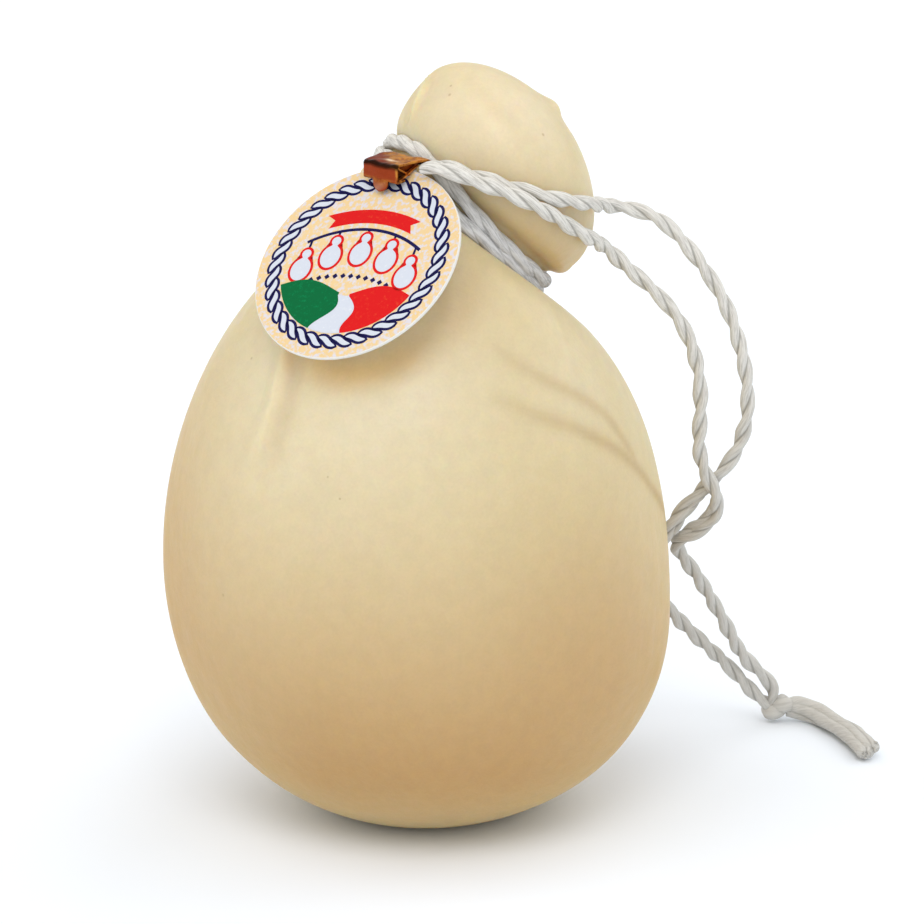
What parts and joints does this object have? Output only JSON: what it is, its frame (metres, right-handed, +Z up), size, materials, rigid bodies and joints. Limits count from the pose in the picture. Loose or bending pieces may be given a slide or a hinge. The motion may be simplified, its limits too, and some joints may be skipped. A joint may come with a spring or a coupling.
{
  "type": "caciocavallo cheese",
  "caption": "Pear-shaped stretched-curd cheese with a tied-off head, white twine with a knotted end, a folded brass clip and a round card tag.",
  "frame": {"origin": "middle of the flat spot the cheese rests on", "axes": "+Z up, -Y to the front where the tag is, +X to the side the head leans to"},
  "size_m": [0.2008, 0.1453, 0.2068],
  "materials": {
    "rind": "smooth waxy cream rind, satin",
    "twine": "white twisted cotton twine",
    "card": "coated cream card with printed colour fields",
    "clip": "thin folded brass sheet, worn and reddish"
  },
  "bodies": {
    "root": {"cheese": "rind", "neck_turn_lower": "twine", "neck_turn_upper": "twine", "tag": "card", "clip": "clip", "twine_a": "twine", "twine_b": "twine", "knot": "twine", "tail_a": "twine", "tail_b": "twine"}
  },
  "joints": []
}
